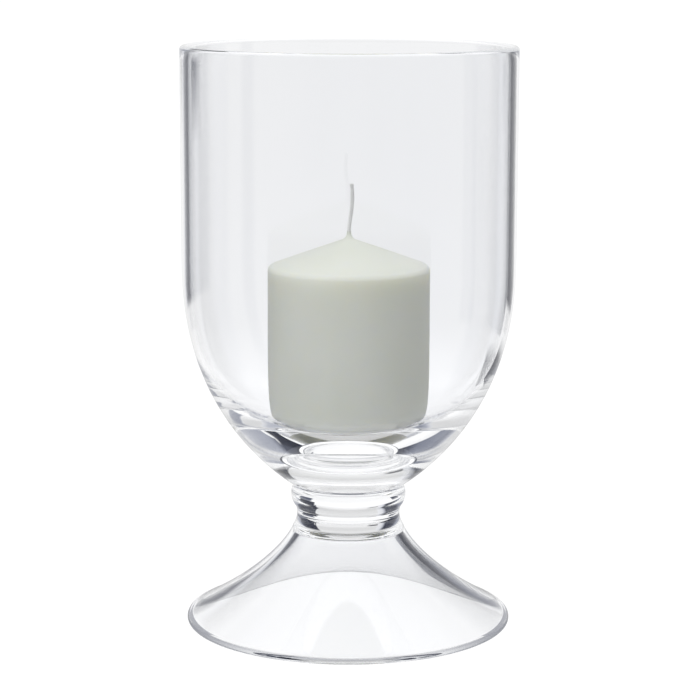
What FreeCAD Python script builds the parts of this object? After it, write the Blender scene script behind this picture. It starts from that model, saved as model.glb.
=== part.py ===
import FreeCAD
import Part
import math
import os

# Footed hurricane lantern of clear blown glass with a pillar candle standing in its bowl.
# Millimetres, +Z up. The origin is the centre of the foot, on the table.
# The glass is four gathers joined hot, one above the other: foot, stem, collar ring and bowl.

# Foot: a hollow trumpet that stands on a narrow flat ring
FOOT_HEIGHT = 47.0            # table to the joint with the stem
FOOT_RIM_RADIUS = 78.9        # widest point of the rounded edge
FOOT_EDGE_HEIGHT = 4.0        # height of the rounded edge
FOOT_EDGE_SHED = 1.9          # how far the flare starts inside the widest point
FOOT_RING_INSET = 1.1         # how far the flat ring starts inside the widest point
FOOT_TOP_RADIUS = 26.9        # at the joint with the stem
FOOT_WALL = 4.6               # glass between the flare and the hollow
FOOT_CEILING = 2.6            # glass over the hollow
HOLLOW_CORNER = 3.0           # rounding where the hollow's wall meets its ceiling
FLARE_LEAD_OUT = 3.6          # upper handle of the flare's curve
FLARE_LEAD_DOWN = 10.0
FLARE_RUN_IN = 29.0           # lower handle of the flare's curve
FLARE_RUN_UP = 15.2

# Stem: a short solid waist
STEM_HEIGHT = 10.0
STEM_WAIST_RADIUS = 25.1
STEM_TOP_RADIUS = 25.6

# Collar ring: the bulging ring of glass under the bowl
COLLAR_HEIGHT = 12.2
COLLAR_RADIUS = 27.9
COLLAR_TOP_RADIUS = 25.4      # at the crease under the bowl

# Bowl: a straight wall on a rounded, heavy bottom
BOWL_HEIGHT = 210.8           # joint with the collar ring to the rim
BOWL_RADIUS = 80.4            # outside, along the straight wall
BOWL_BASE_RADIUS = 28.6       # at the joint, a little proud of the collar ring
BOWL_ROUND_HEIGHT = 106.9     # joint to the line where the straight wall begins
BOWL_SIDE_RUN = 58.5          # upper handle of the outside's curve, down from that line
BOWL_BASE_RUN_OUT = 22.9      # lower handle of the outside's curve
BOWL_BASE_RUN_UP = 16.2
BOWL_FLOOR = 17.8             # glass on the axis, joint to the inside
INNER_SIDE_RUN = 67.0         # upper handle of the inside's curve, down from the same line
INNER_FLOOR_RUN = 48.0        # lower handle of the inside's curve, out from the axis
RIM_WALL = 3.9                # glass at the straight wall; the lip is a full round of it

# Candle
CANDLE_RADIUS = 39.0
CANDLE_SIDE_HEIGHT = 80.6     # base to the shoulder
CANDLE_CONE_RISE = 14.2       # shoulder to the point of the cone, on the axis
CANDLE_SHOULDER_ROUND = 1.6
CANDLE_BASE_ROUND = 1.2
WAX_CREEP_RADIUS = 3.4        # foot of the wax that climbs the wick
WAX_CREEP_RISE = 2.6          # how far it climbs above the cone's point

# Wick: primed cotton, upright in the wax, with a slight S above it
WICK_RADIUS = 1.0
WICK_STRAIGHT_ABOVE = 1.2     # straight length above the cone's point
WICK_FIRST_BEND_RADIUS = 52.0
WICK_FIRST_LEAN = 9.0         # degrees from upright after the first bend
WICK_SECOND_BEND_RADIUS = 72.0
WICK_SECOND_LEAN = 4.0        # degrees past upright, the other way, at the tip

# Wick sustainer: a thin tinned disc with a neck that grips the wick, let into the candle's base
SUSTAINER_RADIUS = 12.5
SUSTAINER_SHEET = 0.4
SUSTAINER_NECK_RADIUS = 2.2
SUSTAINER_NECK_HEIGHT = 6.5   # above the disc
SUSTAINER_NECK_FILLET = 0.9
SUSTAINER_DEPTH = 1.0         # candle's base to the disc's underside

# Clearances
SEAT_CLEARANCE = 0.3          # candle's lower edge above the glass that carries it
SEAT_PRECISION = 1e-5         # how closely that height is found
WICK_CLEARANCE = 0.05         # wick in the wax and in the neck
SUSTAINER_CLEARANCE = 0.05    # disc and neck in the wax

# Levels that follow from the sizes above
STEM_BASE_Z = FOOT_HEIGHT
COLLAR_BASE_Z = STEM_BASE_Z + STEM_HEIGHT
BOWL_BASE_Z = COLLAR_BASE_Z + COLLAR_HEIGHT
RIM_Z = BOWL_BASE_Z + BOWL_HEIGHT
BOWL_SPRING_Z = BOWL_BASE_Z + BOWL_ROUND_HEIGHT
INNER_RADIUS = BOWL_RADIUS - RIM_WALL
INNER_FLOOR_Z = BOWL_BASE_Z + BOWL_FLOOR


def point(radius, height):
    """A point of a profile, in the XZ plane."""
    return FreeCAD.Vector(radius, 0, height)


def line(start, end):
    """A straight edge of a profile."""
    return Part.LineSegment(start, end).toShape()


def arc(start, middle, end):
    """A circular edge through three points."""
    return Part.Arc(start, middle, end).toShape()


def quarter_arc(start, corner, end):
    """A quarter circle that is tangent to the two sides of a square corner."""
    centre = start + end - corner
    middle = centre + (corner - centre) * math.sqrt(0.5)
    return arc(start, middle, end)


def bezier(poles):
    """A smooth edge that starts and ends on its first and last poles."""
    curve = Part.BezierCurve()
    curve.setPoles(poles)
    return curve.toShape()


def revolve(edges):
    """The solid that a closed profile sweeps about the Z axis."""
    face = Part.Face(Part.Wire(Part.__sortEdges__(edges)))
    turned = face.revolve(point(0, 0), FreeCAD.Vector(0, 0, 1), 360)
    return Part.Solid(turned.Shells[0])


def bowl_poles():
    """Poles of the bowl's rounded outside, from the straight wall down to the collar ring."""
    side = point(BOWL_RADIUS, BOWL_SPRING_Z)
    base = point(BOWL_BASE_RADIUS, BOWL_BASE_Z)
    upper = side - FreeCAD.Vector(0, 0, BOWL_SIDE_RUN)
    lower = base + FreeCAD.Vector(BOWL_BASE_RUN_OUT, 0, BOWL_BASE_RUN_UP)
    return [side, upper, lower, base]


def inner_poles():
    """Poles of the bowl's rounded inside, from the straight wall down to the axis."""
    side = point(INNER_RADIUS, BOWL_SPRING_Z)
    upper = side - FreeCAD.Vector(0, 0, INNER_SIDE_RUN)
    return [side, upper, point(INNER_FLOOR_RUN, INNER_FLOOR_Z), point(0, INNER_FLOOR_Z)]


def inner_surface_z(radius):
    """Height of the bowl's inner surface at a radius from the axis."""
    level = line(point(radius, INNER_FLOOR_Z), point(radius, RIM_Z))
    return bezier(inner_poles()).distToShape(level)[1][0][0].z


def offset_poles(poles, distance):
    """Poles of a curve that runs beside another, at a distance towards the axis and the table."""
    legs = [(b - a).normalize() for a, b in zip(poles, poles[1:])]
    normals = [FreeCAD.Vector(leg.z, 0, -leg.x) for leg in legs]
    moved = [poles[0] + normals[0] * distance]
    for before, after, pole in zip(normals, normals[1:], poles[1:]):
        mean = (before + after).normalize()
        moved.append(pole + mean * (distance / mean.dot(after)))
    moved.append(poles[-1] + normals[-1] * distance)
    return moved


def round_circle(solid, radius, height, fillet):
    """Round the circular edges of a solid that lie at a radius and height."""
    near = 1e-3
    edges = []
    for edge in solid.Edges:
        box = edge.BoundBox
        level = abs(box.ZMin - height) < near and abs(box.ZMax - height) < near
        if level and abs(box.XMax - radius) < near:
            edges.append(edge)
    return solid.makeFillet(fillet, edges)


def flare_poles():
    """Poles of the foot's outside, from the stem joint down to the rounded edge."""
    top = point(FOOT_TOP_RADIUS, FOOT_HEIGHT)
    end = point(FOOT_RIM_RADIUS - FOOT_EDGE_SHED, FOOT_EDGE_HEIGHT)
    upper = top + FreeCAD.Vector(FLARE_LEAD_OUT, 0, -FLARE_LEAD_DOWN)
    lower = end + FreeCAD.Vector(-FLARE_RUN_IN, 0, FLARE_RUN_UP)
    return [top, upper, lower, end]


def foot_hollow():
    """The space inside the foot: parallel to the flare, with a level ceiling and a rounded corner."""
    poles = offset_poles(flare_poles(), FOOT_WALL)
    ceiling_z = FOOT_HEIGHT - FOOT_CEILING
    below = point(poles[-1].x, -FOOT_WALL)
    outline = [
        bezier(poles),
        line(poles[-1], below),
        line(below, point(0, below.z)),
        line(point(0, below.z), point(0, poles[0].z)),
        line(point(0, poles[0].z), poles[0]),
    ]
    trumpet = revolve(outline)
    if poles[0].z > ceiling_z:
        lid = Part.makeCylinder(BOWL_RADIUS, FOOT_HEIGHT, point(0, ceiling_z))
        trumpet = trumpet.cut(lid)
    top = max(trumpet.Edges, key=lambda edge: edge.BoundBox.ZMin)
    return trumpet.makeFillet(HOLLOW_CORNER, [top])


def make_foot():
    """Hollow trumpet foot with a rounded edge and a flat ring to stand on."""
    poles = flare_poles()
    ring = point(FOOT_RIM_RADIUS - FOOT_RING_INSET, 0)
    widest = point(FOOT_RIM_RADIUS, FOOT_EDGE_HEIGHT / 2)
    outline = [
        line(point(0, FOOT_HEIGHT), poles[0]),
        bezier(poles),
        arc(poles[-1], widest, ring),
        line(ring, point(0, 0)),
        line(point(0, 0), point(0, FOOT_HEIGHT)),
    ]
    return revolve(outline).cut(foot_hollow())


def make_stem():
    """Short solid waist between the foot and the collar ring."""
    low = point(FOOT_TOP_RADIUS, STEM_BASE_Z)
    waist = point(STEM_WAIST_RADIUS, STEM_BASE_Z + STEM_HEIGHT / 2)
    high = point(STEM_TOP_RADIUS, COLLAR_BASE_Z)
    outline = [
        line(point(0, STEM_BASE_Z), low),
        arc(low, waist, high),
        line(high, point(0, COLLAR_BASE_Z)),
        line(point(0, COLLAR_BASE_Z), point(0, STEM_BASE_Z)),
    ]
    return revolve(outline)


def make_collar_ring():
    """Bulging ring under the bowl, with a crease above it and the waist below."""
    low = point(STEM_TOP_RADIUS, COLLAR_BASE_Z)
    bulge = point(COLLAR_RADIUS, COLLAR_BASE_Z + COLLAR_HEIGHT / 2)
    high = point(COLLAR_TOP_RADIUS, BOWL_BASE_Z)
    outline = [
        line(point(0, COLLAR_BASE_Z), low),
        arc(low, bulge, high),
        line(high, point(0, BOWL_BASE_Z)),
        line(point(0, BOWL_BASE_Z), point(0, COLLAR_BASE_Z)),
    ]
    return revolve(outline)


def make_bowl():
    """Open bowl whose wall thickens from the round lip to the heavy bottom."""
    lip_z = RIM_Z - RIM_WALL / 2
    outer_lip = point(BOWL_RADIUS, lip_z)
    crest = point(BOWL_RADIUS - RIM_WALL / 2, RIM_Z)
    inner_lip = point(INNER_RADIUS, lip_z)
    outside = bowl_poles()
    inside = inner_poles()
    outline = [
        line(point(0, BOWL_BASE_Z), outside[-1]),
        bezier(outside),
        line(outside[0], outer_lip),
        quarter_arc(outer_lip, point(BOWL_RADIUS, RIM_Z), crest),
        quarter_arc(crest, point(INNER_RADIUS, RIM_Z), inner_lip),
        line(inner_lip, inside[0]),
        bezier(inside),
        line(inside[-1], point(0, BOWL_BASE_Z)),
    ]
    return revolve(outline)


def seat_z():
    """Height of the candle's base when its rounded lower edge lies a clearance above the sloping glass."""
    inside = bezier(inner_poles())
    axis_to_round = CANDLE_RADIUS - CANDLE_BASE_ROUND
    low = inner_surface_z(axis_to_round)
    high = BOWL_SPRING_Z
    while high - low > SEAT_PRECISION:
        middle = (low + high) / 2
        centre = Part.Vertex(point(axis_to_round, middle))
        if inside.distToShape(centre)[0] < CANDLE_BASE_ROUND + SEAT_CLEARANCE:
            low = middle
        else:
            high = middle
    return low - CANDLE_BASE_ROUND


# The candle stands on its lower edge, on the sloping glass inside the bowl
CANDLE_BASE_Z = seat_z()
SHOULDER_Z = CANDLE_BASE_Z + CANDLE_SIDE_HEIGHT
CONE_POINT_Z = SHOULDER_Z + CANDLE_CONE_RISE
SUSTAINER_Z = CANDLE_BASE_Z + SUSTAINER_DEPTH
DISC_TOP_Z = SUSTAINER_Z + SUSTAINER_SHEET
NECK_TOP_Z = DISC_TOP_Z + SUSTAINER_NECK_HEIGHT
WICK_BORE_RADIUS = WICK_RADIUS + WICK_CLEARANCE


def make_candle_body():
    """Pillar of wax with a low cone on top, a bore for the wick and a seat for its sustainer."""
    seat_radius = SUSTAINER_RADIUS + SUSTAINER_CLEARANCE
    neck_radius = SUSTAINER_NECK_RADIUS + SUSTAINER_CLEARANCE
    seat_top = DISC_TOP_Z + SUSTAINER_CLEARANCE
    neck_top = NECK_TOP_Z + SUSTAINER_CLEARANCE
    relief = SUSTAINER_NECK_FILLET
    creep_z = CONE_POINT_Z - CANDLE_CONE_RISE * WAX_CREEP_RADIUS / CANDLE_RADIUS
    creep_foot = point(WAX_CREEP_RADIUS, creep_z)
    creep_top = point(WICK_BORE_RADIUS, CONE_POINT_Z + WAX_CREEP_RISE)
    sag = (WAX_CREEP_RADIUS - WICK_BORE_RADIUS) / 4
    creep_middle = (creep_foot + creep_top) * 0.5 - FreeCAD.Vector(sag, 0, sag)
    corners = [
        point(seat_radius, CANDLE_BASE_Z),
        point(CANDLE_RADIUS, CANDLE_BASE_Z),
        point(CANDLE_RADIUS, SHOULDER_Z),
        creep_foot,
    ]
    bore = [
        creep_top,
        point(WICK_BORE_RADIUS, neck_top),
        point(neck_radius, neck_top),
        point(neck_radius, seat_top + relief),
        point(neck_radius + relief, seat_top),
        point(seat_radius, seat_top),
        corners[0],
    ]
    outline = [line(a, b) for a, b in zip(corners, corners[1:])]
    outline.append(arc(creep_foot, creep_middle, creep_top))
    outline += [line(a, b) for a, b in zip(bore, bore[1:])]
    body = revolve(outline)
    body = round_circle(body, CANDLE_RADIUS, SHOULDER_Z, CANDLE_SHOULDER_ROUND)
    return round_circle(body, CANDLE_RADIUS, CANDLE_BASE_Z, CANDLE_BASE_ROUND)


def bend(start, heading, radius, turn):
    """A tangent arc of the wick's route, in the XZ plane; angles in degrees from upright, towards +X."""
    sign = math.copysign(1, turn)

    def place(angle):
        first = math.radians(heading)
        last = math.radians(heading + angle)
        across = sign * radius * (math.cos(first) - math.cos(last))
        along = sign * radius * (math.sin(last) - math.sin(first))
        return start + FreeCAD.Vector(across, 0, along)

    return arc(start, place(turn / 2), place(turn)), place(turn)


def make_wick():
    """Round wick from inside the sustainer's neck to its free tip."""
    foot = point(0, SUSTAINER_Z)
    leaving = point(0, CONE_POINT_Z + WICK_STRAIGHT_ABOVE)
    first, middle = bend(leaving, 0, WICK_FIRST_BEND_RADIUS, WICK_FIRST_LEAN)
    turn_back = -(WICK_FIRST_LEAN + WICK_SECOND_LEAN)
    second, _ = bend(middle, WICK_FIRST_LEAN, WICK_SECOND_BEND_RADIUS, turn_back)
    route = Part.Wire([line(foot, leaving), first, second])
    section = Part.Wire(Part.makeCircle(WICK_RADIUS, foot, FreeCAD.Vector(0, 0, 1)))
    return Part.Solid(route.makePipeShell([section], True, False).Shells[0])


def make_wick_sustainer():
    """Thin disc with a neck, both bored for the wick."""
    bend_out = point(SUSTAINER_NECK_RADIUS + SUSTAINER_NECK_FILLET, DISC_TOP_Z)
    bend_up = point(SUSTAINER_NECK_RADIUS, DISC_TOP_Z + SUSTAINER_NECK_FILLET)
    outline = [
        line(point(WICK_BORE_RADIUS, SUSTAINER_Z), point(SUSTAINER_RADIUS, SUSTAINER_Z)),
        line(point(SUSTAINER_RADIUS, SUSTAINER_Z), point(SUSTAINER_RADIUS, DISC_TOP_Z)),
        line(point(SUSTAINER_RADIUS, DISC_TOP_Z), bend_out),
        quarter_arc(bend_out, point(SUSTAINER_NECK_RADIUS, DISC_TOP_Z), bend_up),
        line(bend_up, point(SUSTAINER_NECK_RADIUS, NECK_TOP_Z)),
        line(point(SUSTAINER_NECK_RADIUS, NECK_TOP_Z), point(WICK_BORE_RADIUS, NECK_TOP_Z)),
        line(point(WICK_BORE_RADIUS, NECK_TOP_Z), point(WICK_BORE_RADIUS, SUSTAINER_Z)),
    ]
    return revolve(outline)


NODES = {
    "foot": make_foot,
    "stem": make_stem,
    "collar_ring": make_collar_ring,
    "bowl": make_bowl,
    "candle_body": make_candle_body,
    "wick": make_wick,
    "wick_sustainer": make_wick_sustainer,
}

os.makedirs("parts", exist_ok=True)
for name, make in NODES.items():
    shape = make()
    shape.exportStep(os.path.join("parts", name + ".step"))
    box = shape.optimalBoundingBox()
    print(name, "solids", len(shape.Solids), "valid", shape.isValid(), "volume", round(shape.Volume))
    print("    z", round(box.ZMin, 2), "to", round(box.ZMax, 2), "x", round(box.XMin, 2), "to", round(box.XMax, 2))
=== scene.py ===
"""Studio scene of a footed hurricane lantern: a clear blown-glass body with a pillar candle in it.

Sizes are in millimetres where a name ends in _mm and in metres elsewhere, and angles are in degrees.
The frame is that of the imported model: +Z up, the centre of the foot on the floor at the origin, -Y
towards the camera.
"""

import logging
import math
from dataclasses import dataclass, field
from enum import Enum

import bpy
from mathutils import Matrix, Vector


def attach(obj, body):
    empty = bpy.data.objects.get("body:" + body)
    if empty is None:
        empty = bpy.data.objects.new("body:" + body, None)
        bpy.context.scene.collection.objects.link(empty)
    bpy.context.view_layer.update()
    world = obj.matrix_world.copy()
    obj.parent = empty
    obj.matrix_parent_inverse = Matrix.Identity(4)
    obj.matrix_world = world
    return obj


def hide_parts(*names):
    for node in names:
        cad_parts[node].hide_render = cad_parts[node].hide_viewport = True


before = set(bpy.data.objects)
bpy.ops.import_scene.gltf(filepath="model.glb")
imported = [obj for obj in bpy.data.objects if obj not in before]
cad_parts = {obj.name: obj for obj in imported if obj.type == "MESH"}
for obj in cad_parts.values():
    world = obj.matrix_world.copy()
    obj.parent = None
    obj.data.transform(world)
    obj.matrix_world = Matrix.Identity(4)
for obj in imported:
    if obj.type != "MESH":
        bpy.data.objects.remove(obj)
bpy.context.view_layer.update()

LOG = logging.getLogger("lantern")
MM = 0.001
KNOT_WELD_MM = 0.001
SEAM_WELD_MM = 0.002
Pair = tuple[float, float]
Triple = tuple[float, float, float]
Colour = Triple
Step = tuple[Vector, Vector, float]


class Body(Enum):
    """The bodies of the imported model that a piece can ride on."""

    LANTERN = "lantern"
    CANDLE = "candle"


class Slot(Enum):
    """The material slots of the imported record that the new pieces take."""

    GLASS = "clear_glass"
    WAX = "candle_wax"
    COTTON = "wick_cotton"


@dataclass(frozen=True)
class Grain:
    """A noise pattern: its scale per metre, its octaves and its stretch along X, Y and Z."""

    scale: float
    detail: float
    stretch: Triple = (1.0, 1.0, 1.0)


class Graph:
    """A node tree with short ways to add nodes and to join them."""

    def __init__(self, tree: bpy.types.NodeTree) -> None:
        """Take over a node tree and empty it.

        Args:
            tree: the node tree of a material or a world.
        """
        self.tree = tree
        tree.nodes.clear()

    def add(self, kind: str, inputs: dict | None = None, **settings: object) -> bpy.types.Node:
        """Add a node.

        Args:
            kind: the node's type, without its ShaderNode prefix.
            inputs: values for its sockets, by name or number.
            settings: values for the node's own properties.

        Returns:
            The new node.
        """
        node = self.tree.nodes.new("ShaderNode" + kind)
        for name, value in settings.items():
            setattr(node, name, value)
        for name, value in (inputs or {}).items():
            node.inputs[name].default_value = value
        return node

    def join(self, source: bpy.types.NodeSocket, target: bpy.types.NodeSocket) -> None:
        """Join two sockets.

        Args:
            source: an output.
            target: the input that takes it.
        """
        self.tree.links.new(source, target)

    def mix(self, factor: bpy.types.NodeSocket, first: bpy.types.Node,
            second: bpy.types.Node) -> bpy.types.Node:
        """Mix two shaders.

        Args:
            factor: the output that sets the share of the second shader.
            first: a node whose first output is a shader.
            second: a node whose first output is a shader.

        Returns:
            The mix node.
        """
        node = self.add("MixShader")
        self.join(factor, node.inputs[0])
        self.join(first.outputs[0], node.inputs[1])
        self.join(second.outputs[0], node.inputs[2])
        return node

    def ramp(self, factor: bpy.types.NodeSocket, stops: list[tuple[float, Colour]]) -> bpy.types.NodeSocket:
        """Colour a value by a ramp.

        Args:
            factor: the output that runs along the ramp.
            stops: places on the ramp and their colours, in order.

        Returns:
            The output that holds the colour.
        """
        node = self.add("ValToRGB")
        elements = node.color_ramp.elements
        while len(elements) < len(stops):
            elements.new(0.5)
        for element, (place, colour) in zip(elements, stops):
            element.position = place
            element.color = (*colour, 1.0)
        self.join(factor, node.inputs["Fac"])
        return node.outputs["Color"]

    def level(self, factor: bpy.types.NodeSocket, low: float, high: float) -> bpy.types.NodeSocket:
        """Stretch a value from 0..1 to a range.

        Args:
            factor: the output to stretch.
            low: what 0 becomes.
            high: what 1 becomes.

        Returns:
            The output that holds the stretched value.
        """
        node = self.add("MapRange", {"To Min": low, "To Max": high})
        self.join(factor, node.inputs["Value"])
        return node.outputs["Result"]

    def noise(self, grain: Grain) -> bpy.types.NodeSocket:
        """Add noise that stays with the piece.

        Args:
            grain: the pattern.

        Returns:
            The output that holds the noise, about 0..1.
        """
        place = self.add("TexCoord")
        turn = self.add("Mapping", {"Scale": grain.stretch})
        node = self.add("TexNoise", {"Scale": grain.scale, "Detail": grain.detail})
        self.join(place.outputs["Object"], turn.inputs["Vector"])
        self.join(turn.outputs["Vector"], node.inputs["Vector"])
        return node.outputs["Fac"]

    def bump(self, height: bpy.types.NodeSocket, strength: float, distance: float) -> bpy.types.NodeSocket:
        """Raise a surface by a pattern.

        Args:
            height: the output that holds the pattern.
            strength: how strongly it shows.
            distance: how high it is, in metres.

        Returns:
            The output that holds the surface's direction.
        """
        node = self.add("Bump", {"Strength": strength, "Distance": distance})
        self.join(height, node.inputs["Height"])
        return node.outputs["Normal"]

    def height(self) -> bpy.types.NodeSocket:
        """Find how high a point of the piece lies.

        Returns:
            The output that holds the height, in metres.
        """
        place = self.add("TexCoord")
        parts = self.add("SeparateXYZ")
        self.join(place.outputs["Object"], parts.inputs["Vector"])
        return parts.outputs["Z"]

    def surface(self, values: dict, joins: dict[str, bpy.types.NodeSocket]) -> bpy.types.Node:
        """Add the shader of a surface.

        Args:
            values: plain values for its sockets, by name.
            joins: outputs for its other sockets, by name.

        Returns:
            The shader node.
        """
        node = self.add("BsdfPrincipled", values)
        for name, source in joins.items():
            self.join(source, node.inputs[name])
        return node

    def finish(self, shader: bpy.types.Node) -> None:
        """Join a shader to the tree's output.

        Args:
            shader: a node whose first output is a shader.
        """
        is_world = any(world.node_tree == self.tree for world in bpy.data.worlds)
        output = self.add("OutputWorld" if is_world else "OutputMaterial")
        self.join(shader.outputs[0], output.inputs["Surface"])


def new_material(name: str) -> tuple[bpy.types.Material, Graph]:
    """Make an empty node material.

    Args:
        name: the material's name.

    Returns:
        The material and its node graph.
    """
    material = bpy.data.materials.new(name)
    material.use_nodes = True
    return material, Graph(material.node_tree)


@dataclass(frozen=True)
class BlownGlass:
    """Clear fire-polished glass with the faint waves of hand work.

    Its tint goes from clear to cloudy between two places along the noise, which clouds gives.
    Light that has bounced in it more than caught_after times is let out in a set colour: the low one
    below the first of the caught heights, the high one above the second. The low colour is painted
    shade that darkens the foot's edge.
    """

    clear: Colour = (0.972, 0.976, 0.984)
    cloudy: Colour = (0.955, 0.961, 0.974)
    clouds: Pair = (0.35, 0.7)
    drift: Grain = Grain(9.0, 1.0, (1.0, 1.0, 0.3))
    waves: Grain = Grain(42.0, 1.0, (1.0, 1.0, 0.16))
    wave_height: float = 0.000015
    refraction: float = 1.5
    shade: Colour = (0.93, 0.935, 0.945)
    caught_after: float = 12.0
    # painted shade: the dark colour that light let out at the foot's edge takes
    caught_painted_shade: Colour = (0.34, 0.35, 0.39)
    caught_high: Colour = (0.86, 0.865, 0.875)
    caught_heights: Pair = (0.008, 0.03)

    def material(self) -> bpy.types.Material:
        """Build the finish.

        Returns:
            The glass material. Lamps and bounced light pass straight through it. Caught light is
            let out because the lip and the foot's edge would turn black without it.
        """
        material, graph = new_material("blown_glass")
        tints = list(zip(self.clouds, (self.clear, self.cloudy)))
        glass = graph.surface(
            {"Roughness": 0.0, "IOR": self.refraction, "Transmission Weight": 1.0},
            {
                "Base Color": graph.ramp(graph.noise(self.drift), tints),
                "Normal": graph.bump(graph.noise(self.waves), 1.0, self.wave_height),
            },
        )
        # light let out low on the foot gets painted shade, light let out higher up a pale tint
        exits = list(zip(self.caught_heights, (self.caught_painted_shade, self.caught_high)))
        freed = graph.add("BsdfRefraction", {"Roughness": 0.0, "IOR": 1.0})
        graph.join(graph.ramp(graph.height(), exits), freed.inputs["Color"])
        path = graph.add("LightPath")
        caught = graph.add("Math", {1: self.caught_after}, operation="GREATER_THAN")
        graph.join(path.outputs["Ray Depth"], caught.inputs[0])
        seen = graph.mix(caught.outputs[0], glass, freed)
        through = graph.add("BsdfTransparent", {"Color": (*self.shade, 1.0)})
        lit = graph.mix(path.outputs["Is Shadow Ray"], seen, through)
        graph.finish(graph.mix(path.outputs["Is Diffuse Ray"], lit, through))
        return material


@dataclass(frozen=True)
class IvoryWax:
    """Pale ivory candle wax: satin, a little clouded, and lit from within.

    The share of light from within falls to nothing between the heights thin_from and thin_at, so
    that it doesn't leak into the wick's bore.
    """

    milky: Colour = (0.735, 0.75, 0.69)
    clouded: Colour = (0.69, 0.71, 0.625)
    clouds: Pair = (0.34, 0.68)
    drift: Grain = Grain(24.0, 4.0, (1.0, 1.0, 0.8))
    grain: Grain = Grain(420.0, 4.0)
    grain_height: float = 0.00005
    grain_strength: float = 0.5
    satin: Pair = (0.4, 0.56)
    refraction: float = 1.43
    shine: float = 0.4
    glow: Colour = (1.0, 0.9, 0.62)
    glow_depth: float = 0.022
    glow_share: float = 0.7
    thin_from: float = 0.176
    thin_at: float = 0.188

    def material(self) -> bpy.types.Material:
        """Build the finish.

        Returns:
            The wax material.
        """
        material, graph = new_material("ivory_wax")
        tints = list(zip(self.clouds, (self.milky, self.clouded)))
        grain = graph.noise(self.grain)
        share = graph.add("MapRange", {
            "From Min": self.thin_from,
            "From Max": self.thin_at,
            "To Min": self.glow_share,
            "To Max": 0.0,
        })
        graph.join(graph.height(), share.inputs["Value"])
        graph.finish(graph.surface(
            {
                "IOR": self.refraction,
                "Specular IOR Level": self.shine,
                "Subsurface Radius": self.glow,
                "Subsurface Scale": self.glow_depth,
            },
            {
                "Base Color": graph.ramp(graph.noise(self.drift), tints),
                "Roughness": graph.level(grain, *self.satin),
                "Subsurface Weight": share.outputs["Result"],
                "Normal": graph.bump(grain, self.grain_strength, self.grain_height),
            },
        ))
        return material


@dataclass(frozen=True)
class PrimedCotton:
    """Cotton wick yarn, stiff and slightly shiny with wax."""

    waxed: Colour = (0.72, 0.72, 0.71)
    bare: Colour = (0.86, 0.86, 0.85)
    soaked: Pair = (0.35, 0.65)
    patches: Grain = Grain(500.0, 2.0, (1.0, 1.0, 0.4))
    fibres: Grain = Grain(5200.0, 3.0, (1.0, 1.0, 0.35))
    fibre_height: float = 0.00004
    fibre_strength: float = 0.6
    roughness: Pair = (0.55, 0.8)
    sheen: float = 0.25
    sheen_roughness: float = 0.5

    def material(self) -> bpy.types.Material:
        """Build the finish.

        Returns:
            The cotton material.
        """
        material, graph = new_material("primed_cotton")
        tints = list(zip(self.soaked, (self.waxed, self.bare)))
        patches = graph.noise(self.patches)
        graph.finish(graph.surface(
            {"Sheen Weight": self.sheen, "Sheen Roughness": self.sheen_roughness},
            {
                "Base Color": graph.ramp(patches, tints),
                "Roughness": graph.level(patches, *self.roughness),
                "Normal": graph.bump(graph.noise(self.fibres), self.fibre_strength, self.fibre_height),
            },
        ))
        return material


@dataclass(frozen=True)
class TinnedSheet:
    """Dull tin-plated sheet with rolling marks."""

    bright: Colour = (0.74, 0.75, 0.76)
    dull: Colour = (0.58, 0.59, 0.6)
    bloomed: Pair = (0.35, 0.7)
    blooms: Grain = Grain(260.0, 3.0)
    marks: Grain = Grain(700.0, 2.0, (1.0, 16.0, 1.0))
    mark_height: float = 0.00002
    mark_strength: float = 0.4
    roughness: Pair = (0.3, 0.52)

    def material(self) -> bpy.types.Material:
        """Build the finish.

        Returns:
            The tinned steel material.
        """
        material, graph = new_material("tinned_sheet")
        tints = list(zip(self.bloomed, (self.bright, self.dull)))
        marks = graph.noise(self.marks)
        graph.finish(graph.surface(
            {"Metallic": 1.0},
            {
                "Base Color": graph.ramp(graph.noise(self.blooms), tints),
                "Roughness": graph.level(marks, *self.roughness),
                "Normal": graph.bump(marks, self.mark_strength, self.mark_height),
            },
        ))
        return material


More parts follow.
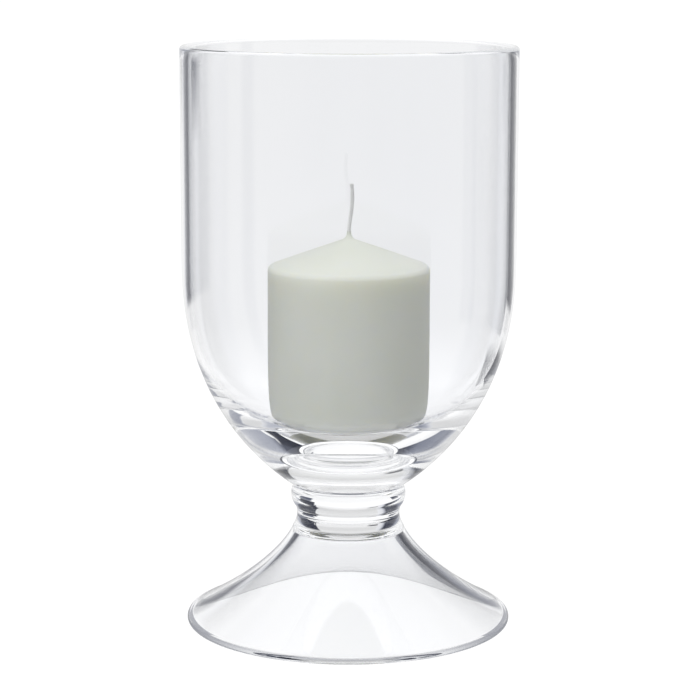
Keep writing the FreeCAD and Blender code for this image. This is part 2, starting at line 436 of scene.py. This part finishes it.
class Bench:
    """Moves at the workbench that every piece is shaped with."""

    @staticmethod
    def clear() -> None:
        """Leave edit mode and deselect everything."""
        if bpy.context.object is not None and bpy.context.object.mode != "OBJECT":
            bpy.ops.object.mode_set(mode="OBJECT")
        bpy.ops.object.select_all(action="DESELECT")

    @staticmethod
    def take(obj: bpy.types.Object) -> None:
        """Select one object alone and make it active.

        Args:
            obj: any object.
        """
        Bench.clear()
        obj.select_set(True)
        bpy.context.view_layer.objects.active = obj

    @staticmethod
    def open(obj: bpy.types.Object) -> None:
        """Take an object into edit mode, for its vertices, with nothing selected.

        Args:
            obj: a mesh object.
        """
        Bench.take(obj)
        bpy.ops.object.mode_set(mode="EDIT")
        bpy.ops.mesh.select_mode(type="VERT")
        bpy.ops.mesh.select_all(action="DESELECT")

    @staticmethod
    def pick(obj: bpy.types.Object, place: Pair, least_mm: float, reach_mm: float) -> None:
        """Select the points of a half section that lie at some distance from a place.

        Args:
            obj: a mesh in edit mode, drawn in the XZ plane.
            place: radius and height, in millimetres.
            least_mm: the smallest distance.
            reach_mm: the largest distance.
        """
        bpy.ops.mesh.select_all(action="DESELECT")
        bpy.ops.object.mode_set(mode="OBJECT")
        for vertex in obj.data.vertices:
            away = math.dist((vertex.co.x / MM, vertex.co.z / MM), place)
            vertex.select = least_mm <= away < reach_mm
        bpy.ops.object.mode_set(mode="EDIT")

    @staticmethod
    def melt(obj: bpy.types.Object, place: Pair, size_mm: float, segments: int = 6) -> None:
        """Round a corner of a half section.

        Args:
            obj: a mesh in edit mode, drawn in the XZ plane.
            place: radius and height of the corner, in millimetres.
            size_mm: how far from the corner the rounding starts.
            segments: how many edges the rounding gets.
        """
        near_mm = 0.02
        Bench.pick(obj, place, near_mm, size_mm)
        bpy.ops.mesh.dissolve_verts()
        Bench.pick(obj, place, 0.0, near_mm)
        bpy.ops.mesh.bevel(offset=size_mm * MM, segments=segments, affect="VERTICES", clamp_overlap=True)

    @staticmethod
    def turn(obj: bpy.types.Object, steps: int) -> None:
        """Turn a half section into a closed shape with its faces outwards, and smooth it.

        Args:
            obj: a mesh in the XZ plane.
            steps: how many steps the full turn has.
        """
        Bench.take(obj)
        lathe = obj.modifiers.new("lathe", "SCREW")
        lathe.axis = "Z"
        lathe.angle = math.tau
        lathe.steps = lathe.render_steps = steps
        lathe.use_merge_vertices = True
        lathe.merge_threshold = SEAM_WELD_MM * MM
        bpy.ops.object.modifier_apply(modifier=lathe.name)
        Bench.open(obj)
        bpy.ops.mesh.select_all(action="SELECT")
        bpy.ops.mesh.remove_doubles(threshold=SEAM_WELD_MM * MM)
        bpy.ops.mesh.normals_make_consistent(inside=False)
        bpy.ops.object.mode_set(mode="OBJECT")
        bpy.ops.object.shade_smooth()


class HalfSection:
    """A half section in the XZ plane, drawn knot by knot as one Bezier line. Sizes in millimetres."""

    def __init__(self, start: Pair) -> None:
        """Begin at a point.

        Args:
            start: radius and height of the first knot.
        """
        self.knots: list[Pair] = [start]
        self.leaving: list[Pair] = []
        self.arriving: list[Pair] = []

    def curve(self, lead: Pair, run: Pair, end: Pair, runs: int = 1) -> "HalfSection":
        """Add a cubic run.

        Args:
            lead: handle that leaves the last knot.
            run: handle that arrives at the new knot.
            end: the new knot.
            runs: into how many cubic runs it is divided.

        Returns:
            This section, so that runs can be chained.
        """
        poles = [Vector(pole) for pole in (self.knots[-1], lead, run, end)]
        for left in range(runs, 0, -1):
            rows = [poles]
            while len(rows[-1]) > 1:
                rows.append([a.lerp(b, 1 / left) for a, b in zip(rows[-1], rows[-1][1:])])
            self.leaving.append(tuple(rows[1][0]))
            self.arriving.append(tuple(rows[2][0]))
            self.knots.append(tuple(rows[3][0]))
            poles = [row[-1] for row in reversed(rows)]
        return self

    def line(self, end: Pair) -> "HalfSection":
        """Add a straight run.

        Args:
            end: the new knot.

        Returns:
            This section.
        """
        start = Vector(self.knots[-1])
        third = (Vector(end) - start) / 3
        return self.curve(tuple(start + third), tuple(Vector(end) - third), end)

    def oval(self, centre: Pair, radii: Pair, first: float, last: float) -> "HalfSection":
        """Add part of an ellipse as one cubic run.

        Args:
            centre: its centre.
            radii: its half widths along the radius and the height.
            first: the angle where it starts, in degrees from the outward direction.
            last: the angle where it ends.

        Returns:
            This section.
        """
        begin = math.radians(first)
        sweep = math.radians(last - first)
        reach = 4 / 3 * math.tan(sweep / 4)

        def place(angle: float, along: float) -> Pair:
            """Find a point of the ellipse, moved along its tangent.

            Args:
                angle: the point's angle, in radians.
                along: how far it is moved, as a share of the half widths.

            Returns:
                Radius and height.
            """
            across = math.cos(angle) - along * math.sin(angle)
            up = math.sin(angle) + along * math.cos(angle)
            return (centre[0] + radii[0] * across, centre[1] + radii[1] * up)

        end = begin + sweep
        return self.curve(place(begin, reach), place(end, -reach), place(end, 0.0))

    def arc(self, middle: Pair, end: Pair) -> "HalfSection":
        """Add a circular arc.

        Args:
            middle: a point that it passes through.
            end: where it ends.

        Returns:
            This section.
        """
        a, b, c = (Vector(p) for p in (self.knots[-1], middle, end))
        double = 2 * (a.x * (b.y - c.y) + b.x * (c.y - a.y) + c.x * (a.y - b.y))
        squares = [p.length_squared for p in (a, b, c)]
        x = (squares[0] * (b.y - c.y) + squares[1] * (c.y - a.y) + squares[2] * (a.y - b.y)) / double
        y = (squares[0] * (c.x - b.x) + squares[1] * (a.x - c.x) + squares[2] * (b.x - a.x)) / double
        radius = math.dist((x, y), a)
        first, via, last = (math.degrees(math.atan2(p.y - y, p.x - x)) for p in (a, b, c))
        via = first + (via - first + 180) % 360 - 180
        last = via + (last - via + 180) % 360 - 180
        return self.oval((x, y), (radius, radius), first, last)

    def draw(self, name: str, resolution: int) -> bpy.types.Object:
        """Draw the section as a curve and make it a chain of edges.

        Args:
            name: the new object's name.
            resolution: how many edges each run gets.

        Returns:
            The mesh object, with its place in its mesh.
        """
        Bench.clear()
        bpy.ops.curve.primitive_bezier_curve_add(radius=MM, location=(0, 0, 0))
        obj = bpy.context.object
        obj.name = obj.data.name = name
        spline = obj.data.splines[0]
        spline.bezier_points.add(len(self.knots) - len(spline.bezier_points))
        spline.resolution_u = resolution
        arriving = [self.knots[0], *self.arriving]
        leaving = [*self.leaving, self.knots[-1]]
        for point, knot, before, after in zip(spline.bezier_points, self.knots, arriving, leaving):
            point.handle_left_type = point.handle_right_type = "FREE"
            point.co, point.handle_left, point.handle_right = (
                Vector((r, 0, z)) * MM for r, z in (knot, before, after)
            )
        bpy.ops.object.convert(target="MESH")
        Bench.open(obj)
        bpy.ops.mesh.select_all(action="SELECT")
        bpy.ops.mesh.remove_doubles(threshold=KNOT_WELD_MM * MM)
        bpy.ops.object.mode_set(mode="OBJECT")
        return obj


@dataclass
class GlassBody:
    """Foot, stem, collar ring and bowl: four gathers joined hot, so they are one piece of glass.

    A pair is a radius and a height in millimetres. Three pairs are the two handles and the end of a
    run of the half section.
    """

    rim_mm: float = 280.0
    wall_mm: float = 3.9
    inner_bottom_mm: float = 87.0
    inside: tuple[Pair, Pair, Pair] = ((48.0, 87.0), (76.5, 109.1), (76.5, 176.1))
    outside: tuple[Pair, Pair, Pair] = ((80.4, 117.6), (51.5, 85.4), (28.6, 69.2))
    collar_top: Pair = (25.4, 69.2)
    collar_bulge: Pair = (27.9, 63.1)
    collar_foot: Pair = (25.6, 57.0)
    waist: Pair = (25.1, 52.0)
    stem_foot: Pair = (26.9, 47.0)
    flare: tuple[Pair, Pair, Pair] = ((30.5, 37.0), (48.0, 19.2), (77.0, 4.0))
    edge_middle: Pair = (78.9, 2.0)
    ring_outer: Pair = (77.8, 0.0)
    ring_inner: Pair = (74.723, 0.0)
    hollow: tuple[Pair, Pair, Pair] = ((47.46, 14.32), (29.45, 31.59), (23.74, 42.77))
    hollow_corner: tuple[Pair, Pair, Pair] = ((23.15, 43.8), (22.2, 44.4), (21.077, 44.4))
    ceiling_mm: float = 44.4
    bowl_melt_mm: float = 1.1
    collar_melt_mm: float = 0.8
    foot_melt_mm: float = 0.6
    ring_melt_mm: float = 0.4
    steps: int = 224
    resolution: int = 22
    bowl_runs: int = 3
    finish: BlownGlass = field(default_factory=BlownGlass)

    def section(self) -> HalfSection:
        """Draw the half section, from the bowl's inner bottom over the lip and down to the foot's hollow.

        Returns:
            The half section.
        """
        inner, spring = self.inside[-1]
        half = self.wall_mm / 2
        lip = self.rim_mm - half
        section = HalfSection((0.0, self.inner_bottom_mm))
        section.curve(*self.inside, runs=self.bowl_runs)
        section.line((inner, lip))
        section.oval((inner + half, lip), (half, half), 180, 0)
        section.line((inner + self.wall_mm, spring))
        section.curve(*self.outside, runs=self.bowl_runs)
        section.line(self.collar_top)
        section.arc(self.collar_bulge, self.collar_foot)
        section.arc(self.waist, self.stem_foot)
        section.curve(*self.flare)
        section.arc(self.edge_middle, self.ring_outer)
        section.line(self.ring_inner)
        section.curve(*self.hollow)
        section.curve(*self.hollow_corner)
        return section.line((0.0, self.ceiling_mm))

    def build(self) -> bpy.types.Object:
        """Draw the section, melt its creases round and spin it.

        Returns:
            The glass body.
        """
        obj = self.section().draw("glass_body", self.resolution)
        Bench.open(obj)
        for place, size in (
            (self.outside[-1], self.bowl_melt_mm),
            (self.collar_top, self.collar_melt_mm),
            (self.collar_foot, self.collar_melt_mm),
            (self.stem_foot, self.foot_melt_mm),
            (self.flare[-1], self.foot_melt_mm),
            (self.ring_outer, self.ring_melt_mm),
            (self.ring_inner, self.ring_melt_mm),
        ):
            Bench.melt(obj, place, size)
        Bench.turn(obj, self.steps)
        return obj

    def dress(self, obj: bpy.types.Object) -> None:
        """Give the glass its finish and its place in the frame.

        Args:
            obj: the glass body.
        """
        obj.data.materials.append(self.finish.material())
        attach(obj, Body.LANTERN.value)
        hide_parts("bowl", "collar_ring", "stem", "foot")


@dataclass
class PillarCandle:
    """Pillar of wax with a low cone on top, bored for its wick."""

    radius_mm: float = 39.0
    base_mm: float = 94.068
    shoulder_mm: float = 174.668
    point_mm: float = 188.868
    creep_foot_mm: float = 3.4
    creep_rise_mm: float = 2.6
    bore_mm: float = 1.05
    seat_radius_mm: float = 12.55
    seat_top_mm: float = 95.518
    neck_radius_mm: float = 2.25
    neck_top_mm: float = 102.018
    neck_relief_mm: float = 0.9
    shoulder_round_mm: float = 1.9
    base_round_mm: float = 1.2
    round_segments: int = 8
    crease_angle: float = 40.0
    unevenness_mm: float = 0.22
    still_mm: float = 1.0
    settled_mm: float = 6.0
    lump_size: float = 0.034
    lump_depth: int = 1
    lump_middle: float = 0.75
    steps: int = 192
    resolution: int = 14
    finish: IvoryWax = field(default_factory=IvoryWax)

    def section(self) -> HalfSection:
        """Draw the half section, round the outside and back down the bore.

        Returns:
            The closed half section.
        """
        rise = self.point_mm - self.shoulder_mm
        creep = (self.creep_foot_mm, self.point_mm - rise * self.creep_foot_mm / self.radius_mm)
        crest = (self.bore_mm, self.point_mm + self.creep_rise_mm)
        sag = (self.creep_foot_mm - self.bore_mm) / 4
        hang = ((creep[0] + crest[0]) / 2 - sag, (creep[1] + crest[1]) / 2 - sag)
        relief = self.neck_relief_mm
        section = HalfSection((self.seat_radius_mm, self.base_mm))
        section.line((self.radius_mm, self.base_mm)).line((self.radius_mm, self.shoulder_mm))
        section.line(creep).arc(hang, crest)
        for end in (
            (self.bore_mm, self.neck_top_mm),
            (self.neck_radius_mm, self.neck_top_mm),
            (self.neck_radius_mm, self.seat_top_mm + relief),
            (self.neck_radius_mm + relief, self.seat_top_mm),
            (self.seat_radius_mm, self.seat_top_mm),
            (self.seat_radius_mm, self.base_mm),
        ):
            section.line(end)
        return section

    def build(self) -> bpy.types.Object:
        """Draw the section, round its corners, spin it and let the wax settle unevenly.

        Returns:
            The candle's wax.
        """
        obj = self.section().draw("pillar_wax", self.resolution)
        Bench.open(obj)
        for place, size in (
            ((self.radius_mm, self.shoulder_mm), self.shoulder_round_mm),
            ((self.radius_mm, self.base_mm), self.base_round_mm),
        ):
            Bench.melt(obj, place, size, self.round_segments)
        Bench.turn(obj, self.steps)
        bpy.ops.object.shade_smooth_by_angle(angle=math.radians(self.crease_angle))
        self.settle(obj)
        return obj

    def settle(self, obj: bpy.types.Object) -> None:
        """Push the outside of the wax in and out a little, as poured wax shrinks.

        The bore and the seat stay as they are. The base is still, and the push grows above it.

        Args:
            obj: the candle's wax.
        """
        outside = obj.vertex_groups.new(name="outside")
        shoulder = self.shoulder_round_mm
        for vertex in obj.data.vertices:
            reach = math.hypot(vertex.co.x, vertex.co.y) / MM
            height = vertex.co.z / MM
            clear_of_bore = min(max((reach - self.seat_radius_mm) / shoulder, 0.0), 1.0)
            above_base = height - self.base_mm - self.still_mm
            clear_of_seat = min(max(above_base / self.settled_mm, 0.0), 1.0)
            outside.add([vertex.index], clear_of_bore * clear_of_seat, "REPLACE")
        lumps = bpy.data.textures.new("wax_lumps", "CLOUDS")
        lumps.noise_scale = self.lump_size
        lumps.noise_depth = self.lump_depth
        Bench.take(obj)
        push = obj.modifiers.new("settle", "DISPLACE")
        push.texture = lumps
        push.texture_coords = "LOCAL"
        push.vertex_group = outside.name
        push.mid_level = self.lump_middle
        push.strength = self.unevenness_mm * MM
        bpy.ops.object.modifier_apply(modifier=push.name)

    def dress(self, obj: bpy.types.Object) -> None:
        """Give the wax its finish and its place in the frame.

        Args:
            obj: the candle's wax.
        """
        obj.data.materials.append(self.finish.material())
        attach(obj, Body.CANDLE.value)
        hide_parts("candle_body")


@dataclass
class BraidedWick:
    """Round braid of eight cotton strands over a core, stiff with wax and bent in a slight S."""

    route_mm: tuple[Pair, ...] = (
        (0.0, 95.068), (0.0, 140.0), (0.0, 186.0), (0.0, 194.2), (2.0, 206.5), (1.2, 214.5),
    )
    strands_each_way: int = 4
    braid_mm: float = 0.63
    weave_mm: float = 0.1
    strand_mm: float = 0.27
    core_mm: float = 0.36
    pitch_mm: float = 4.4
    points_per_turn: int = 16
    line_order: int = 3
    line_resolution: int = 40
    strand_resolution: int = 1
    finish: PrimedCotton = field(default_factory=PrimedCotton)

    def centreline(self) -> list[Vector]:
        """Read the wick's line from a smooth spline on its route.

        Returns:
            Points along the line, evenly enough for the braid.
        """
        Bench.clear()
        bpy.ops.curve.primitive_nurbs_path_add(radius=MM, location=(0, 0, 0))
        guide = bpy.context.object
        guide.data.splines.clear()
        spline = guide.data.splines.new("NURBS")
        spline.points.add(len(self.route_mm) - 1)
        for point, (across, up) in zip(spline.points, self.route_mm):
            point.co = (across * MM, 0, up * MM, 1.0)
        spline.order_u = self.line_order
        spline.use_endpoint_u = True
        spline.resolution_u = self.line_resolution
        line = bpy.data.meshes.new_from_object(guide)
        points = [vertex.co.copy() for vertex in line.vertices]
        bpy.data.meshes.remove(line)
        bpy.data.objects.remove(guide)
        return points

    def walk(self, points: list[Vector]) -> list[Step]:
        """Step along the line evenly.

        Args:
            points: points along the line.

        Returns:
            For each step, the place, the direction and the length so far.
        """
        stride = self.pitch_mm * MM / self.points_per_turn
        steps: list[Step] = []
        done = 0.0
        due = 0.0
        for start, end in zip(points, points[1:]):
            leg = end - start
            while due <= done + leg.length:
                steps.append((start + leg * ((due - done) / leg.length), leg.normalized(), due))
                due += stride
            done += leg.length
        return steps

    def build(self) -> bpy.types.Object:
        """Lay the strands over and under each other along the wick's line.

        The strands that wind the other way start half a place further round.

        Returns:
            The wick.
        """
        steps = self.walk(self.centreline())
        Bench.clear()
        bpy.ops.curve.primitive_nurbs_path_add(radius=MM, location=(0, 0, 0))
        obj = bpy.context.object
        obj.name = obj.data.name = "braided_wick"
        obj.data.splines.clear()
        self.lay(obj, [place for place, _, _ in steps], self.core_mm / self.strand_mm)
        for way in (1, -1):
            for strand in range(self.strands_each_way):
                start = (strand + (0.5 if way < 0 else 0.0)) / self.strands_each_way
                self.lay(obj, [self.strand_place(step, start, way) for step in steps], 1.0)
        obj.data.bevel_depth = self.strand_mm * MM
        obj.data.bevel_resolution = self.strand_resolution
        obj.data.use_fill_caps = True
        bpy.ops.object.convert(target="MESH")
        bpy.ops.object.shade_smooth()
        return obj

    def strand_place(self, step: Step, start: float, way: int) -> Vector:
        """Find where a strand lies at one step.

        Args:
            step: place, direction and length so far along the wick.
            start: the strand's starting place round the wick, as a share of a turn.
            way: 1 or -1, the way it winds.

        Returns:
            The strand's middle.
        """
        place, ahead, length = step
        angle = math.tau * (start + way * length / (self.pitch_mm * MM))
        radius = self.braid_mm + way * self.weave_mm * math.cos(self.strands_each_way * angle)
        side = Vector((0, 1, 0))
        out = side.cross(ahead).normalized()
        return place + (out * math.cos(angle) + side * math.sin(angle)) * radius * MM

    def lay(self, obj: bpy.types.Object, places: list[Vector], thickness: float) -> None:
        """Add one strand to the wick's curve.

        Args:
            obj: the wick's curve object.
            places: the strand's points.
            thickness: its radius, as a share of a strand's.
        """
        spline = obj.data.splines.new("POLY")
        spline.points.add(len(places) - 1)
        for point, place in zip(spline.points, places):
            point.co = (*place, 1.0)
            point.radius = thickness

    def dress(self, obj: bpy.types.Object) -> None:
        """Give the wick its finish and its place in the frame.

        Args:
            obj: the wick.
        """
        obj.data.materials.append(self.finish.material())
        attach(obj, Body.CANDLE.value)
        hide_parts("wick")


@dataclass
class WickSustainer:
    """The tinned disc under the wick, whose solid is right as it is."""

    node: str = "wick_sustainer"
    finish: TinnedSheet = field(default_factory=TinnedSheet)

    def build(self) -> bpy.types.Object:
        """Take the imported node.

        Returns:
            The sustainer.
        """
        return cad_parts[self.node]

    def dress(self, obj: bpy.types.Object) -> None:
        """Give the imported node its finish.

        Args:
            obj: the sustainer.
        """
        obj.data.materials.clear()
        obj.data.materials.append(self.finish.material())


@dataclass(frozen=True)
class Flag:
    """A card beside the set, which only light that has passed through the glass meets.

    Its shades are greys at places from 0 at its left edge to 1 at its right one. Over the low and
    the high share of its height it fades away.
    """

    name: str
    azimuth: float
    spread: float
    shades: tuple[Pair, ...]
    radius: float = 0.6
    top: float = 0.45
    low: float = 0.02
    high: float = 0.3

    @staticmethod
    def dark(name: str, azimuth: float, spread: float, grey: float, soft: float = 0.3,
             radius: float = 0.6, top: float = 0.45, low: float = 0.02) -> "Flag":
        """Make an even card that is soft towards its two upright edges.

        Args:
            name: the card's name.
            azimuth: where it stands, in degrees from +Y towards +X.
            spread: how wide it looks from the lantern, in degrees.
            grey: how bright it is.
            soft: how much of it is edge.
            radius: how far off it stands.
            top: how tall it is.
            low: how much of its height fades away at the bottom.

        Returns:
            The card.
        """
        edge = soft / 2
        shades = ((0.0, 1.0), (edge, grey), (1.0 - edge, grey), (1.0, 1.0))
        return Flag(name, azimuth, spread, shades, radius, top, low)


@dataclass(frozen=True)
class Lamp:
    """A square soft box: where it hangs, its side in metres and its power in watts."""

    name: str
    place: Triple
    side: float
    power: float


@dataclass
class Studio:
    """Pale floor, soft light, dark cards and the camera.

    A row of pairs gives brightness at places. For floor_seen and floor_through the place is the
    distance from the lantern in metres, for sky_through the height of the direction, from 0 at the
    horizon to 1 overhead, and for the two gloss rows the lean towards bright_side. Beside the
    lamps, sky_fill and floor_bounce light the set. The powers in cool make a card's grey cooler the
    darker it is.
    """

    floor_side: float = 60.0
    floor_drop: float = 0.0002
    floor_paint: float = 0.2
    floor_seen: tuple[Pair, ...] = ((0.25, 0.84), (1.0, 0.95))
    # floor_through holds painted shade: the floor that the glass shows is darker within 0.1 m of the
    # lantern, brightest at 0.35 m and dimmer farther off
    floor_through: tuple[Pair, ...] = (
        (0.0, 0.83), (0.1, 0.84), (0.35, 0.94), (0.5, 0.89), (1.0, 0.82),
    )
    floor_bounce: float = 0.03
    sky_fill: float = 0.58
    sky_seen: float = 1.0
    bright_side: Triple = (0.0, 0.8, 0.6)
    sky_gloss: tuple[Pair, ...] = ((0.53, 0.15), (0.72, 0.7), (1.0, 0.95))
    floor_gloss: tuple[Pair, ...] = ((0.5, 0.12), (0.56, 0.42), (0.66, 0.5), (0.9, 0.8))
    sky_through: tuple[Pair, ...] = (
        (0.0, 0.955), (0.1, 0.84), (0.2, 0.76), (0.34, 0.75), (0.44, 0.86), (0.54, 0.8), (0.62, 0.56),
        (0.69, 0.62), (0.77, 1.0), (0.94, 1.5),
    )
    cool: Colour = (1.06, 1.0, 0.82)
    flags: tuple[Flag, ...] = (
        Flag("left", -47.0, 50.0, (
            (0.0, 0.8), (0.08, 0.42), (0.16, 0.2), (0.24, 0.26), (0.4, 0.22), (0.48, 0.08), (0.54, 0.03),
            (0.82, 0.03), (0.88, 0.6), (0.92, 0.8), (1.0, 0.85),
        ), radius=0.95, top=0.7),
        Flag("right", 58.0, 30.0, (
            (0.0, 0.04), (0.2, 0.06), (0.33, 0.4), (0.6, 0.46), (0.85, 0.55), (1.0, 0.85),
        )),
        Flag.dark("right_black", 37.0, 26.0, 0.02, soft=0.1, radius=0.95, top=0.7),
        Flag.dark("right_low", 35.0, 23.0, 0.02, soft=0.1, radius=0.28, top=0.09),
        Flag.dark("left_high", -18.7, 12.5, 0.02, soft=0.5, radius=2.6, top=0.24, low=0.5),
        Flag.dark("right_near", 36.0, 24.0, 0.1, soft=0.2, radius=0.14, top=0.035),
        Flag.dark("left_near", -42.0, 18.0, 0.05, soft=0.2, radius=0.14, top=0.035),
        Flag.dark("right_far", 94.0, 14.0, 0.3, top=0.7),
    )
    lamps: tuple[Lamp, ...] = (
        Lamp("key_box", (-0.36, -0.72, 0.86), 0.6, 6.8),
        Lamp("top_box", (0.05, 0.1, 1.4), 1.0, 2.2),
        Lamp("side_box", (0.75, 0.35, 0.7), 0.6, 2.6),
    )
    lamp_aim: Triple = (0.0, 0.0, 0.15)
    camera_place: Triple = (0.0, -1.12438, 0.33434)
    camera_pitch: float = 10.125
    camera_roll: float = -0.15
    camera_lens_mm: float = 121.47
    camera_shift: float = 0.0003
    camera_sensor_mm: float = 36.0
    camera_clip: float = 0.01
    bounces: int = 32
    glossy_bounces: int = 24

    def by_sight(self, graph: Graph, plain: bpy.types.Node, gloss: bpy.types.Node,
                 through: bpy.types.Node, seen: bpy.types.Node) -> bpy.types.Node:
        """Choose a shader by what looks at it.

        Args:
            graph: the node graph.
            plain: what lights the set.
            gloss: what reflections show.
            through: what the glass shows.
            seen: what the camera shows.

        Returns:
            The mixed shader.
        """
        path = graph.add("LightPath")
        shown = graph.mix(path.outputs["Is Glossy Ray"], plain, gloss)
        shown = graph.mix(path.outputs["Is Transmission Ray"], shown, through)
        return graph.mix(path.outputs["Is Camera Ray"], shown, seen)

    def graded(self, graph: Graph, kind: str, along: bpy.types.NodeSocket,
               stops: tuple[Pair, ...]) -> bpy.types.Node:
        """Add a white glow whose strength changes along a value.

        Args:
            graph: the node graph.
            kind: Background or Emission.
            along: the output that the strength follows.
            stops: places along it and the strength at each.

        Returns:
            The glowing shader.
        """
        most = max(strength for _, strength in stops)
        shades = [(place, (strength / most,) * 3) for place, strength in stops]
        glow = graph.add(kind, {"Strength": most})
        graph.join(graph.ramp(along, shades), glow.inputs["Color"])
        return glow

    def lean(self, graph: Graph, way: bpy.types.NodeSocket) -> bpy.types.NodeSocket:
        """Find how far a direction or a place lies to the bright side, above and behind the lantern.

        Args:
            graph: the node graph.
            way: the output that holds a direction of length 1, or a place in metres.

        Returns:
            The output that is 1 towards the bright side, 0 the other way and a half between them.
        """
        towards = graph.add("VectorMath", {1: self.bright_side}, operation="DOT_PRODUCT")
        share = graph.add("MapRange", {"From Min": -1.0})
        graph.join(way, towards.inputs[0])
        graph.join(towards.outputs["Value"], share.inputs["Value"])
        return share.outputs["Result"]

    def build_world(self) -> None:
        """Surround the set with soft white light."""
        world = bpy.data.worlds.new("soft_white")
        world.use_nodes = True
        bpy.context.scene.world = world
        graph = Graph(world.node_tree)
        plain, seen = (
            graph.add("Background", {"Color": (1, 1, 1, 1), "Strength": strength})
            for strength in (self.sky_fill, self.sky_seen)
        )
        way = graph.add("TexCoord").outputs["Generated"]
        parts = graph.add("SeparateXYZ")
        graph.join(way, parts.inputs["Vector"])
        gloss = self.graded(graph, "Background", self.lean(graph, way), self.sky_gloss)
        through = self.graded(graph, "Background", parts.outputs["Z"], self.sky_through)
        graph.finish(self.by_sight(graph, plain, gloss, through, seen))

    def build_floor(self) -> None:
        """Lay the pale floor. It is painted paper that keeps the lantern's shadow."""
        Bench.clear()
        bpy.ops.mesh.primitive_plane_add(size=self.floor_side, location=(0, 0, -self.floor_drop))
        floor = bpy.context.object
        floor.name = "floor"
        material, graph = new_material("pale_paper")
        material.cycles.emission_sampling = "NONE"
        paint = graph.add("BsdfDiffuse", {"Color": (self.floor_paint,) * 3 + (1.0,)})
        plain = graph.add("Emission", {"Color": (1, 1, 1, 1), "Strength": self.floor_bounce})
        place = graph.add("TexCoord").outputs["Object"]
        gloss = self.graded(graph, "Emission", self.lean(graph, place), self.floor_gloss)
        away = graph.add("VectorMath", operation="LENGTH")
        graph.join(place, away.inputs[0])
        # the floor that the glass shows carries painted shade next to the lantern
        through, seen = (
            self.graded(graph, "Emission", away.outputs["Value"], stops)
            for stops in (self.floor_through, self.floor_seen)
        )
        total = graph.add("AddShader")
        graph.join(paint.outputs[0], total.inputs[0])
        graph.join(self.by_sight(graph, plain, gloss, through, seen).outputs[0], total.inputs[1])
        graph.finish(total)
        floor.data.materials.append(material)

    def build_flags(self) -> None:
        """Stand the dark cards round the set."""
        for flag in self.flags:
            Bench.clear()
            turn = math.radians(flag.azimuth)
            place = (flag.radius * math.sin(turn), flag.radius * math.cos(turn), flag.top / 2)
            bpy.ops.mesh.primitive_plane_add(size=1, location=place, rotation=(math.pi / 2, 0, -turn))
            card = bpy.context.object
            card.name = "flag_" + flag.name
            card.scale = (2 * flag.radius * math.tan(math.radians(flag.spread / 2)), flag.top, 1)
            card.visible_camera = card.visible_diffuse = card.visible_glossy = card.visible_shadow = False
            card.data.materials.append(self.flag_material(flag))

    def flag_material(self, flag: Flag) -> bpy.types.Material:
        """Shade a card, a little cooler where it is darker.

        The card's own coordinates run from -0.5 to 0.5, its stops from 0 to 1.

        Args:
            flag: the card.

        Returns:
            Its material.
        """
        material, graph = new_material("flag_" + flag.name)
        material.cycles.emission_sampling = "NONE"
        place = graph.add("TexCoord")
        parts = graph.add("SeparateXYZ")
        graph.join(place.outputs["Object"], parts.inputs["Vector"])
        along, up = (graph.add("Math", {1: 0.5}, operation="ADD") for _ in range(2))
        graph.join(parts.outputs["X"], along.inputs[0])
        graph.join(parts.outputs["Y"], up.inputs[0])
        shades = [(stop, tuple(grey ** power for power in self.cool)) for stop, grey in flag.shades]
        glow = graph.add("Emission", {"Strength": 1.0})
        graph.join(graph.ramp(along.outputs[0], shades), glow.inputs["Color"])
        there, gone = (0.0, 0.0, 0.0), (1.0, 1.0, 1.0)
        fade = graph.ramp(up.outputs[0], [
            (0.0, gone), (flag.low, there), (1.0 - flag.high, there), (1.0, gone),
        ])
        nothing = graph.add("BsdfTransparent")
        graph.finish(graph.mix(fade, glow, nothing))
        return material

    def build_lamps(self) -> None:
        """Hang the soft boxes: the key in front on the left, one overhead and one behind on the right."""
        for lamp in self.lamps:
            Bench.clear()
            aim = Vector(self.lamp_aim) - Vector(lamp.place)
            turn = aim.to_track_quat("-Z", "Y").to_euler()
            bpy.ops.object.light_add(type="AREA", location=lamp.place, rotation=turn)
            box = bpy.context.object
            box.name = lamp.name
            box.data.size = lamp.side
            box.data.energy = lamp.power
            box.visible_glossy = box.visible_transmission = box.visible_camera = False

    def build_camera(self) -> None:
        """Set up the camera at the photograph's angle."""
        Bench.clear()
        turn = (math.radians(90 - self.camera_pitch), math.radians(self.camera_roll), 0)
        bpy.ops.object.camera_add(location=self.camera_place, rotation=turn)
        camera = bpy.context.object
        camera.data.lens = self.camera_lens_mm
        camera.data.sensor_width = self.camera_sensor_mm
        camera.data.shift_x = self.camera_shift
        camera.data.clip_start = self.camera_clip
        bpy.context.scene.camera = camera

    def build(self) -> None:
        """Build the whole set and let light bounce often enough for the thick glass."""
        self.build_world()
        self.build_floor()
        self.build_flags()
        self.build_lamps()
        self.build_camera()
        scene = bpy.context.scene
        scene.view_settings.view_transform = "Standard"
        scene.cycles.max_bounces = self.bounces
        scene.cycles.glossy_bounces = self.glossy_bounces
        scene.cycles.transmission_bounces = self.bounces
        scene.cycles.transparent_max_bounces = self.bounces


def report(obj: bpy.types.Object) -> None:
    """Log a piece and how many faces it has.

    Args:
        obj: the piece.
    """
    LOG.info("%s: %d faces", obj.name, len(obj.data.polygons))


def main() -> None:
    """Build the lantern's pieces in order, then the studio round it."""
    logging.basicConfig(level=logging.INFO, format="%(name)s %(message)s")
    for assembly in (GlassBody(), PillarCandle(), BraidedWick(), WickSustainer()):
        piece = assembly.build()
        assembly.dress(piece)
        report(piece)
    Studio().build()


if __name__ == "__main__":
    main()
